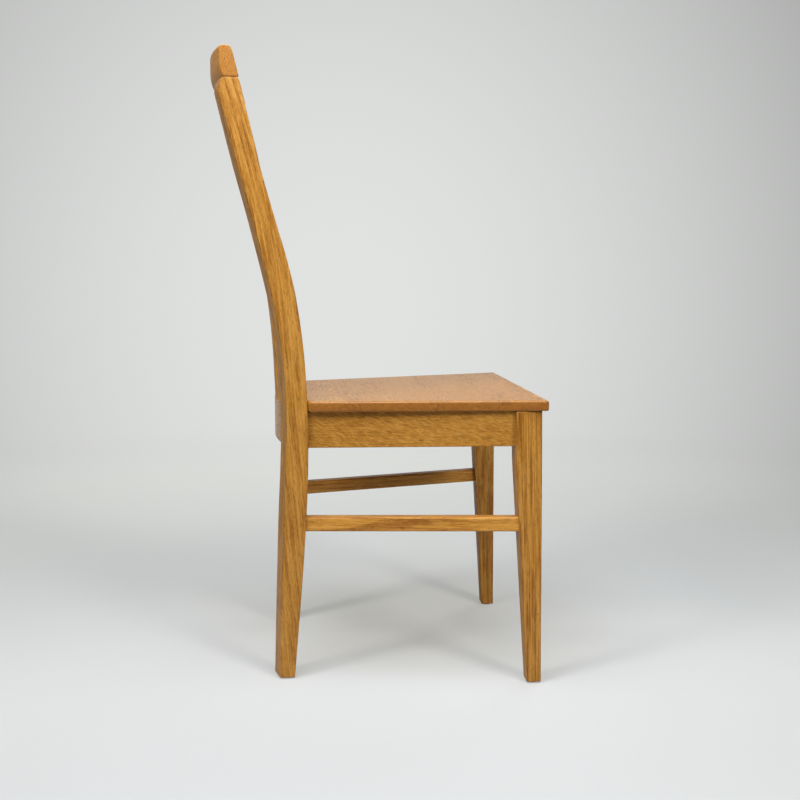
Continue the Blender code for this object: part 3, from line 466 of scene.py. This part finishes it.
def seat_plan(inset):
    """The board's plan for each station. The sharp plan, whose rear edge follows the rear rail's arc, is
    drawn in first. Then each corner is cut by corner - r * in * (1 - t)^2 + r * out * t^2, with a point on
    each straight beside it; r shrinks by the inset at an outer corner and grows at an inner one."""
    notch_z = seat_bottom(post_front(LEG_TOP))
    outer = float(post_outer(notch_z)) + SEAT_POST_OVERHANG
    tongue = float(post_inner(seat_top(REAR_RAIL_Y))) - NOTCH_GAP
    rear = np.linspace(tongue, -tongue, SEAT_REAR_POINTS)
    rear = np.stack((rear, rear_rail_front(rear) - NOTCH_GAP), -1)
    half = np.array((
        (SEAT_HALF_WIDTH, SEAT_FRONT_Y), (outer, post_front(notch_z, outer) - NOTCH_GAP),
        (tongue, post_front(notch_z, tongue) - NOTCH_GAP), rear[0],
    ))
    sharp = inset_outline(np.concatenate((half, rear[1:-1], (half * (-1, 1))[::-1])), inset)
    after = np.roll(sharp, -1, 1)
    before = np.roll(sharp, 1, 1)
    picked = [0, 1, 2, 3, -4, -3, -2, -1]
    corners = sharp[:, picked]
    way_in = corners - before[:, picked]
    way_out = after[:, picked] - corners
    way_in /= np.linalg.norm(way_in, axis=2, keepdims=True)
    way_out /= np.linalg.norm(way_out, axis=2, keepdims=True)
    turning = np.array((-1, -1, 1, -1, -1, 1, -1, -1))
    reach = np.maximum(SEAT_CORNER + turning * np.asarray(inset)[:, None], SEAT_CUT_LEAST)
    reach = reach[..., None, None]
    t = np.linspace(0, 1, SEAT_CUT_STEPS)
    t_in = np.concatenate(((SEAT_CUT_BESIDE,), (1 - t) ** 2, (0,)))[:, None]
    t_out = np.concatenate(((0,), t ** 2, (SEAT_CUT_BESIDE,)))[:, None]
    arcs = corners[:, :, None] - reach * way_in[:, :, None] * t_in + reach * way_out[:, :, None] * t_out
    stations = len(arcs)
    pieces = (arcs[:, :4].reshape(stations, -1, 2), sharp[:, 4:-4], arcs[:, 4:].reshape(stations, -1, 2))
    return np.concatenate(pieces, 1)


def seat_panel(material):
    """The plan carried through the board's thickness with both edges rounded over, on the seat's slope a:
    y = v * cos a + t * sin a, z = top - v * sin a + t * cos a, where v is the plan's y."""
    low, low_inset = eased_run(-SEAT_THICKNESS, 0.0, SEAT_BOTTOM_EDGE, 2)
    high, high_inset = eased_run(-SEAT_THICKNESS, 0.0, SEAT_TOP_EDGE, 2)
    rings = len(END_TURN) + 1
    at = np.concatenate((low[:rings], high[-rings:]))
    inset = np.concatenate((low_inset[:rings], high_inset[-rings:]))
    plan = seat_plan(inset)
    tilt = math.atan(SEAT_FALL)
    across = np.broadcast_to(at[:, None], plan.shape[:2])
    y = plan[..., 1] * math.cos(tilt) + across * math.sin(tilt)
    z = seat_top(0.0) - plan[..., 1] * math.sin(tilt) + across * math.cos(tilt)
    skin("seat_panel_oak", np.stack((plan[..., 0], y, z), -1), material, "seat_panel")


# Shader arithmetic

class Shade:
    """A shader socket that Python's operators turn into Math nodes."""

    def __init__(self, tree, socket=None):
        self.tree = tree
        self.socket = socket

    def node(self, kind, settings=None, values=None, output=0):
        """Adds a node of a type, with its settings, then its sockets' values or links."""
        made = self.tree.nodes.new(kind)
        for key, value in (settings or {}).items():
            setattr(made, key, value)
        for key, value in (values or {}).items():
            if isinstance(value, Shade):
                self.tree.links.new(value.socket, made.inputs[key])
            else:
                made.inputs[key].default_value = value
        return Shade(self.tree, made.outputs[output])

    def sibling(self, output):
        """Another output of the same node."""
        return Shade(self.tree, self.socket.node.outputs[output])

    def math(self, operation, *values):
        return self.node("ShaderNodeMath", {"operation": operation}, dict(enumerate(values)))

    def __add__(self, other):
        return self.math("ADD", self, other)

    def __radd__(self, other):
        return self.math("ADD", other, self)

    def __sub__(self, other):
        return self.math("SUBTRACT", self, other)

    def __rsub__(self, other):
        return self.math("SUBTRACT", other, self)

    def __mul__(self, other):
        return self.math("MULTIPLY", self, other)

    def __rmul__(self, other):
        return self.math("MULTIPLY", other, self)

    def __truediv__(self, other):
        return self.math("DIVIDE", self, other)

    def band(self, low, high):
        """0 up to low, 1 from high on and smooth between them; where low is the larger, it runs down."""
        values = {"Value": self, "From Min": low, "From Max": high}
        return self.node("ShaderNodeMapRange", {"interpolation_type": "SMOOTHSTEP"}, values)

    def scaled(self, x, y, z):
        """This vector, times a factor on each axis."""
        return self.node("ShaderNodeVectorMath", {"operation": "MULTIPLY"}, {0: self, 1: (x, y, z)})

    def noise(self, detail=2.0, roughness=0.5, distortion=0.0):
        """Noise, about 0 to 1 round 0.5, with features one unit across."""
        values = {
            "Vector": self, "Scale": 1.0, "Detail": detail, "Roughness": roughness, "Distortion": distortion,
        }
        return self.node("ShaderNodeTexNoise", {"noise_dimensions": "3D"}, values)

    def mix(self, first, second, factor, blend="MIX"):
        """Colours mixed by a factor, through the colour sockets of a Mix node."""
        values = {0: factor, 6: first, 7: second}
        values = {
            key: (*value, 1.0) if isinstance(value, tuple) else value for key, value in values.items()
        }
        return self.node("ShaderNodeMix", {"data_type": "RGBA", "blend_type": blend}, values, output=2)


def new_material(name):
    material = bpy.data.materials.new(name)
    material.use_nodes = True
    tree = material.node_tree
    return material, Shade(tree), tree.nodes["Principled BSDF"]


def feed(shader, name, value):
    """Links a changing value to a shader's socket."""
    value.tree.links.new(value.socket, shader.inputs[name])


# Oak

OAK_PALE = (0.660, 0.310, 0.044)
OAK_MEAN = (0.520, 0.220, 0.019)
OAK_DEEP = (0.290, 0.098, 0.008)
OAK_PORE = (0.110, 0.032, 0.004)
OAK_FLECK = (0.730, 0.370, 0.075)
OAK_END = (0.66, 0.56, 0.58)
OAK_TONE = 0.772
OAK_IOR = 1.46
BOW_START = 0.55

# Scales of the noises in the oak: features in a metre, twice across the grain and then along it

WOBBLE_SCALE = (9, 9, 2.6)
RIPPLE_SCALE = (80, 80, 12)
FIBRE_SCALE = (270, 270, 8)
PORE_SCALE = (540, 540, 90)
FINE_PORE_SCALE = (2000, 2000, 110)
SWAY_SCALE = (60, 60, 40)
FLECK_SCALE = (600, 760, 100)
CLOUD_SCALE = (13, 13, 4)
MOTTLE_SCALE = (130, 130, 28)
LOOP_SCALE = (140, 140, 34)
RING_WOBBLE = 0.024
RING_RIPPLE = 0.0018
FLECK_SWAY = 9.0


def board_vector(shade, along, radial, origin, bow):
    """Object coordinates turned into a board's own: X along the rings' radius, Z along the grain. A bow
    bends the grain back by bow * (height - BOW_START)^2 above that height."""
    along = Vector(along).normalized()
    radial = Vector(radial)
    radial = (radial - along * radial.dot(along)).normalized()
    turn = Matrix((radial, along.cross(radial), along))
    coordinates = shade.node("ShaderNodeTexCoord", output=3)
    if bow:
        split = shade.node("ShaderNodeSeparateXYZ", values={0: coordinates})
        above = split.sibling(2) - BOW_START
        above = above.math("MAXIMUM", above, 0.0)
        bent = split.sibling(1) - bow * (above * above)
        coordinates = shade.node("ShaderNodeCombineXYZ", values={0: split, 1: bent, 2: split.sibling(2)})
    values = {"Vector": coordinates, "Location": -(turn @ Vector(origin)), "Rotation": turn.to_euler()}
    return shade.node("ShaderNodeMapping", {"vector_type": "POINT"}, values)


def oak(name, along, radial, origin=(0, 0, 0), pith=0.14, taper=0.02, ring_width=4.5, ring_depth=0.6,
        streak=0.6, fleck=0.35, slant=0.3, tone=1.0, soak=1.0, gloss=0.40, specular=0.35,
        bow=0.0, squiggle=0.0, waver=1.0, staves=None):
    """Solid oak: curved growth rings with pore bands, streaks along the grain, and ray flecks."""
    material, shade, shader = new_material(name)
    place = board_vector(shade, along, radial, origin, bow)
    split = shade.node("ShaderNodeSeparateXYZ", values={0: place})
    x, y, z = split, split.sibling(1), split.sibling(2)
    stave_tone = 0.5
    if staves is not None:
        x, y, stave_tone = staves(shade, x, y)
        place = shade.node("ShaderNodeCombineXYZ", values={0: x, 1: y, 2: z})

    # Growth rings: arcs about the pith, thrown out of line by the tree's own wobble
    wobble = place.scaled(*WOBBLE_SCALE).noise(3.0, 0.5) - 0.5
    ripple = place.scaled(*RIPPLE_SCALE).noise(2.0, 0.5) - 0.5
    radius = x + y * y / (2 * pith) + z * taper + wobble * RING_WOBBLE + ripple * (RING_RIPPLE * waver)
    phase = radius / (ring_width * MILLIMETRE)
    ring = phase.math("FRACT", phase)
    count = phase.math("FLOOR", phase)
    ring_tone = shade.node("ShaderNodeTexWhiteNoise", {"noise_dimensions": "1D"}, {"W": count})
    pore_band = ring.band(0.0, 0.12) * ring.band(0.60, 0.20)

    # Fibres: long soft streaks, darker and lighter than the wood between them
    fibre = place.scaled(*FIBRE_SCALE).noise(4.0, 0.62)
    dark_fibre = fibre.band(0.50, 0.63)
    pale_fibre = fibre.band(0.50, 0.37)

    # Pores: short dark grooves along the grain, crowded in each ring's first half
    crowding = 0.45 + 0.55 * pore_band
    open_pores = place.scaled(*PORE_SCALE).noise(2.0, 0.5).band(0.56, 0.67) * crowding
    fine_pores = place.scaled(*FINE_PORE_SCALE).noise(1.0, 0.4).band(0.55, 0.70)

    # Ray flecks: about 1.5 mm across and 10 mm long, slanting to the grain
    radial_scale, cross_scale, long_scale = FLECK_SCALE
    sway = (place.scaled(*SWAY_SCALE).noise(2.0, 0.5) - 0.5) * FLECK_SWAY
    lean = x * radial_scale + z * (radial_scale * slant) + sway
    leaning = shade.node("ShaderNodeCombineXYZ", values={0: lean, 1: y * cross_scale, 2: z * long_scale})
    figure = leaning.noise(2.0, 0.55)
    pale_rays = figure.band(0.51, 0.62)
    dark_rays = figure.band(0.47, 0.37)

    # Slow changes of tone through the board, and a mottle about 8 mm across and 36 mm along the grain
    cloud = place.scaled(*CLOUD_SCALE).noise(2.0, 0.5)
    mottle = place.scaled(*MOTTLE_SCALE).noise(2.0, 0.5)

    colour = shade.mix(OAK_MEAN, OAK_PALE, cloud.band(0.36, 0.66) * 0.6 + 0.3 * stave_tone)
    colour = shade.mix(colour, OAK_DEEP, ring_depth * pore_band * (0.4 + 0.6 * ring_tone))
    colour = shade.mix(colour, OAK_DEEP, dark_fibre * streak)
    colour = shade.mix(colour, OAK_FLECK, pale_fibre * (0.8 * streak))
    colour = shade.mix(colour, OAK_FLECK, mottle.band(0.50, 0.66) * (0.45 * streak))
    colour = shade.mix(colour, OAK_FLECK, pale_rays * fleck)
    colour = shade.mix(colour, OAK_DEEP, dark_rays * (0.6 * fleck))
    colour = shade.mix(colour, OAK_PORE, open_pores * 0.5)
    colour = shade.mix(colour, OAK_PORE, fine_pores * 0.22)

    if squiggle:
        loops = place.scaled(*LOOP_SCALE).noise(2.0, 0.5, 0.7) - 0.5
        line = loops.math("ABSOLUTE", loops).band(0.09, 0.02)
        colour = shade.mix(colour, OAK_DEEP, line * (squiggle * (0.3 + 0.7 * cloud.band(0.42, 0.58))))

    # End grain drinks more oil than the faces
    facing = shade.node("ShaderNodeNewGeometry", output=1)
    along = tuple(Vector(along).normalized())
    dot = shade.node("ShaderNodeVectorMath", {"operation": "DOT_PRODUCT"}, {0: facing, 1: along}, output=1)
    end = (dot * dot).band(0.35, 0.85)
    colour = shade.mix(colour, OAK_END, end * soak, "MULTIPLY")

    toned = shade.node("ShaderNodeHueSaturation", values={"Value": OAK_TONE * tone, "Color": colour})
    feed(shader, "Base Color", toned)
    feed(shader, "Roughness", gloss + 0.18 * open_pores + 0.08 * (cloud - 0.5) + 0.12 * end)
    shader.inputs["IOR"].default_value = OAK_IOR
    shader.inputs["Specular IOR Level"].default_value = specular
    height = pale_rays * 0.15 - open_pores - fine_pores * 0.4 - dark_fibre * 0.25
    bump = shade.node("ShaderNodeBump", values={"Strength": 0.4, "Distance": 0.00015, "Height": height})
    feed(shader, "Normal", bump)
    return material


SEAT_JOINTS = (-0.053, 0.040, 0.092, 0.170)
STAVE_SEED = 0.37
STAVE_SHIFT = 0.09
STAVE_SLOPE = 1.1
STAVE_ASIDE = 0.12


def seat_staves(shade, x, y):
    """The seat's glued boards: past each joint the rings start from another place and slope, by chance.
    Gives the moved X and Y and the board's own tone."""
    stave = y.math("GREATER_THAN", y, SEAT_JOINTS[0])
    for joint in SEAT_JOINTS[1:]:
        stave = stave + y.math("GREATER_THAN", y, joint)
    chance = shade.node("ShaderNodeTexWhiteNoise", {"noise_dimensions": "1D"}, {"W": stave + STAVE_SEED},
                        output=1)
    parts = shade.node("ShaderNodeSeparateColor", values={0: chance})
    moved = x + (parts - 0.5) * STAVE_SHIFT + y * ((parts.sibling(1) - 0.5) * STAVE_SLOPE)
    return moved, y + (parts.sibling(1) - 0.5) * STAVE_ASIDE, parts.sibling(2)


def finish_node(node, material):
    """A CAD node keeps its shape and gets a finish."""
    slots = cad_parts[node].material_slots
    for slot in slots:
        slot.material = material


def plain(name, colour, roughness, metallic=0.0, scale=(900, 900, 900)):
    """A planed, turned or moulded finish with a slight mottle."""
    material, shade, shader = new_material(name)
    mottle = shade.node("ShaderNodeTexCoord", output=3).scaled(*scale).noise(3.0)
    darker = tuple(part * 0.7 for part in colour)
    feed(shader, "Base Color", shade.mix(darker, colour, mottle.band(0.3, 0.65)))
    feed(shader, "Roughness", roughness + 0.12 * (mottle - 0.5))
    shader.inputs["Metallic"].default_value = metallic
    bump = shade.node("ShaderNodeBump", values={"Strength": 0.2, "Distance": 0.0001, "Height": mottle})
    feed(shader, "Normal", bump)
    return material


POST_GRAIN = (0.0, 0.085, 1.0)
RAIL_TURN = math.radians(11.3)


def dress_seat():
    seat_panel(oak("seat_oak", (1, 0, 0), (0, 0, 1), (0, 0, 0.40), pith=0.11, taper=0.035, fleck=0.15,
                   tone=1.1, gloss=0.29, specular=0.45, ring_depth=0.6, streak=0.2, squiggle=0.8, waver=4.0,
                   soak=0.9, staves=seat_staves))


def dress_cross_rails():
    crest_rail(oak("crest_oak", (1, 0, 0), (0, 0.8, 0.6), (0.2, 0.1, 0.9), ring_width=3.6, streak=0.2,
                   fleck=0.08, waver=2.5, tone=1.12, soak=0.6))
    rear_rail(oak("rear_rail_oak", (1, 0, 0), (0, 0.3, 1), (0.5, 0.1, 0.3), fleck=0.2, gloss=0.27,
                  specular=0.5))
    front_rail(oak("front_rail_oak", (1, 0, 0), (0, 0.2, 1), (0.9, -0.2, 0.3), fleck=0.3))


def dress_side(side_name, side):
    """One side's leg, post, rail and stretcher. The two sides have the same oak, cut from another place, and
    the rails' and stretchers' grain is mirrored."""
    front_leg(side_name, oak(f"front_leg_{side_name}_oak", (0, 0.02, 1), (0.5, 1, 0), (side, 0, 0),
                             ring_width=5.5, ring_depth=0.9, streak=0.85, fleck=0.08))
    rear_post(side_name, oak(f"post_{side_name}_oak", POST_GRAIN, (0.6, 1, 0), (0, side, 0), ring_width=6.5,
                             ring_depth=0.7, streak=0.85, fleck=0.25, bow=0.28, tone=0.96))
    grain = (-side * math.sin(RAIL_TURN), math.cos(RAIL_TURN), 0)
    rail = oak(f"rail_{side_name}_oak", grain, (0, 0, 1), (0, 0, side), ring_depth=0.15, streak=0.25,
               fleck=0.7, slant=0.3 * side, tone=0.95)
    rail_sizes = (RAIL_INSET, RAIL_THICKNESS, RAIL_EDGE)
    long_rail("side_rail_" + side_name, side, RAIL_BOTTOM_FRONT, rail_sizes, rail_top, rail_bottom, rail)
    bar = oak(f"bar_{side_name}_oak", grain, (0.3, 0, 1), (side, side, 0), ring_width=5.0, ring_depth=0.8,
              streak=0.8, fleck=0.2, tone=1.15)
    bar_sizes = (STRETCHER_INSET, STRETCHER_THICKNESS, STRETCHER_EDGE)
    long_rail("side_stretcher_" + side_name, side, STRETCHER_FRONT_TOP, bar_sizes, stretcher_top,
              stretcher_bottom, bar)


def dress_slats():
    for index in range(SLAT_COUNT):
        back_slat(index, oak(f"slat_{index + 1}_oak", (0, 0.18, 1), (0.5, 1, 0), (0.3 * index, 0.2, 0.1),
                             ring_width=5.0, fleck=0.2))


def dress_hardware():
    """Blocks, screws and glides keep their solids' shape."""
    block = plain("planed_beech", (0.56, 0.36, 0.19), 0.6, scale=(70, 900, 900))
    steel = plain("zinc_steel", (0.62, 0.60, 0.55), 0.35, 1.0)
    nylon = plain("dark_nylon", (0.03, 0.025, 0.02), 0.5)
    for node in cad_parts:
        if "screw" in node:
            finish_node(node, steel)
        elif "glide" in node:
            finish_node(node, nylon)
        elif node.startswith("corner_block"):
            finish_node(node, block)


# Studio

CAMERA_PLACE = (-1.9439, 0.1425, 0.6567)
CAMERA_YAW = math.radians(5.71)
CAMERA_PITCH = math.radians(6.74)
CAMERA_LENS = 51.75
SENSOR = 36.0
BACKDROP = 0.766
BACKDROP_ASIDE = 0.047
BACKDROP_BELOW = 0.037
FALL_ACROSS = 2.41
FALL_UP = 2.01
BACKDROP_LEAST = 0.55
MIRRORED_LEAST = 0.38
BACKDROP_TINT = (0.985, 1.0, 0.985)
EVEN_LIGHT = 0.06
EVEN_TINT = (1.0, 0.99, 0.97, 1.0)
BLACK = (0.0, 0.0, 0.0)
REFLECTED_LEAST = 0.25
REFLECTED_SPREAD = (-0.2, 0.4)
FLOOR_REACH = 4.0
FLOOR_SIDES = 96
FLOOR_ROUGHNESS = 0.75
FLOOR_FADE = (2.8, 1.1)
FLOOR_PAPER = (0.53, 0.54, 0.55, 1.0)
FLOOR_TINT = (0.978, 1.0, 0.935)
FLOOR_GLOW = 0.20
GLOW_STRENGTH = 3.0
GLOW_LEVEL = 1.38
GLOW_NEAR_LOSS = 0.25
GLOW_FAR_GAIN = 1.2
GLOW_SIDE_LOSS = 0.25
GLOW_SLOPE_GAIN = 0.22
GLOW_SLOPE_START = 0.14
SOFTBOXES = (
    ("top_box", (-0.55, 0.12, 1.65), (-0.1, 0.1, 0.5), 1.1, 24, (0.96, 1.01, 1.12)),
    ("right_box", (-2.60, -1.70, 2.30), (0, 0, 0.40), 0.8, 53, (1.0, 0.95, 0.85)),
    ("far_box", (1.50, -1.30, 2.30), (0, 0, 0.50), 1.0, 9, (0.98, 1.0, 1.04)),
    ("left_box", (-1.90, 2.70, 2.50), (0, 0.1, 0.40), 0.8, 59, (1.0, 0.95, 0.85)),
)


def add_camera():
    """Looks along +X, turned a little towards -Y and down."""
    data = bpy.data.cameras.new("camera")
    data.lens = CAMERA_LENS
    data.sensor_width = SENSOR
    camera = bpy.data.objects.new("camera", data)
    forward = Vector((
        math.cos(CAMERA_YAW) * math.cos(CAMERA_PITCH),
        -math.sin(CAMERA_YAW) * math.cos(CAMERA_PITCH),
        -math.sin(CAMERA_PITCH),
    ))
    right = forward.cross(Vector((0, 0, 1))).normalized()
    turn = Matrix((right, right.cross(forward), -forward)).transposed()
    camera.matrix_world = Matrix.Translation(CAMERA_PLACE) @ turn.to_4x4()
    bpy.context.scene.collection.objects.link(camera)
    bpy.context.scene.camera = camera


def add_softbox(name, place, target, size, power, colour):
    """A square lamp turned to its target, which the camera doesn't see."""
    data = bpy.data.lights.new(name, "AREA")
    data.color = colour
    data.shape = "SQUARE"
    data.size = size
    data.energy = power
    lamp = bpy.data.objects.new(name, data)
    lamp.visible_camera = False
    way = Vector(target) - Vector(place)
    lamp.matrix_world = Matrix.Translation(place) @ way.to_track_quat("-Z", "Y").to_matrix().to_4x4()
    bpy.context.scene.collection.objects.link(lamp)


def add_world():
    """The backdrop for what the camera and reflections see, and a weak even light for the rest. The
    backdrop's tone is 1 - a * across^2 - b * up^2 about its brightest place. Reflections see it darker
    towards -X."""
    world = bpy.data.worlds.new("studio")
    bpy.context.scene.world = world
    world.use_nodes = True
    tree = world.node_tree
    tree.nodes.clear()
    shade = Shade(tree)
    way = shade.node("ShaderNodeTexCoord", output=0)
    split = shade.node("ShaderNodeSeparateXYZ", values={0: way})
    across = split.sibling(1) + BACKDROP_ASIDE
    up = split.sibling(2) + BACKDROP_BELOW
    fall = 1.0 - FALL_ACROSS * (across * across) - FALL_UP * (up * up)
    path = shade.node("ShaderNodeLightPath")
    mirrored = path.math("MAXIMUM", path.sibling("Is Glossy Ray"), path.sibling("Is Transmission Ray"))
    backdrop = fall.math("MAXIMUM", fall, BACKDROP_LEAST)
    away = (1.0 - REFLECTED_LEAST) * split.band(*REFLECTED_SPREAD)
    reflected = fall.math("MAXIMUM", fall, MIRRORED_LEAST) * (REFLECTED_LEAST + away)
    level = BACKDROP * (backdrop + mirrored * (reflected - backdrop))
    tone = shade.mix(BLACK, BACKDROP_TINT, level)
    seen = shade.node("ShaderNodeBackground", values={"Color": tone, "Strength": 1.0})
    even = shade.node("ShaderNodeBackground", values={"Color": EVEN_TINT, "Strength": EVEN_LIGHT})
    shown = path.math("MAXIMUM", path.sibling("Is Camera Ray"), mirrored)
    both = shade.node("ShaderNodeMixShader", values={0: shown, 1: even, 2: seen})
    output = tree.nodes.new("ShaderNodeOutputWorld")
    tree.links.new(both.socket, output.inputs["Surface"])


def add_floor():
    """A pale paper disc that fades into the backdrop away from the chair. For the camera alone, a fifth of
    it is painted light: a glow, brighter with distance, which paints in the light on the sweep behind the
    chair and lightens the chair's shadow on the floor. A Mix node stops its factor at 1, so the glow's level
    is divided by its strength there. The level is painted light and shade. It changes along X in two steps,
    darker near the camera and brighter far off. Across Y it changes by a slope and, beyond the chair, by a
    square term that darkens it to the sides."""
    mesh = bpy.data.meshes.new("floor")
    angles = np.linspace(0, 2 * np.pi, FLOOR_SIDES, endpoint=False)
    ring = np.column_stack((np.cos(angles), np.sin(angles), np.zeros_like(angles))) * FLOOR_REACH
    mesh.from_pydata(ring.tolist(), [], [list(range(len(ring)))])
    floor = bpy.data.objects.new("floor", mesh)
    bpy.context.scene.collection.objects.link(floor)
    material, shade, shader = new_material("floor_paper")
    spot = shade.node("ShaderNodeTexCoord", output=3)
    away = shade.node("ShaderNodeVectorMath", {"operation": "LENGTH"}, {0: spot}, output=1)
    shader.inputs["Base Color"].default_value = FLOOR_PAPER
    shader.inputs["Roughness"].default_value = FLOOR_ROUGHNESS
    split = shade.node("ShaderNodeSeparateXYZ", values={0: spot})
    side = split.sibling(1)
    near = split.band(0.34, -0.40)
    # Painted light and shade on the floor: the glow's level is darker near the camera and to the sides, and
    # brighter far off
    along = GLOW_LEVEL - GLOW_NEAR_LOSS * split.band(-0.15, -0.60) + GLOW_FAR_GAIN * split.band(0.3, 2.0)
    cross = GLOW_SLOPE_GAIN * split.band(-0.5, 0.9) - GLOW_SLOPE_START
    level = along - GLOW_SIDE_LOSS * (side * side) * (1.0 - near) + cross * side
    tone = shade.mix(BLACK, FLOOR_TINT, level / GLOW_STRENGTH)
    glow = shade.node("ShaderNodeEmission", values={"Color": tone, "Strength": GLOW_STRENGTH})
    camera_ray = shade.node("ShaderNodeLightPath")
    surface = Shade(shade.tree, shader.outputs[0])
    # For camera rays a fifth of the floor is the glow, which is painted light and lightens the chair's shadow
    # there
    seen = shade.node("ShaderNodeMixShader", values={0: camera_ray * FLOOR_GLOW, 1: surface, 2: glow})
    clear = shade.node("ShaderNodeBsdfTransparent")
    faded = shade.node("ShaderNodeMixShader", values={0: away.band(*FLOOR_FADE), 1: clear, 2: seen})
    output = shade.tree.nodes["Material Output"]
    shade.tree.links.new(faded.socket, output.inputs["Surface"])
    mesh.materials.append(material)


bpy.context.scene.view_settings.view_transform = "Standard"
add_camera()
add_world()
add_floor()
for softbox in SOFTBOXES:
    add_softbox(*softbox)
dress_seat()
dress_cross_rails()
for side_name, side in SIDES.items():
    dress_side(side_name, side)
dress_slats()
dress_hardware()
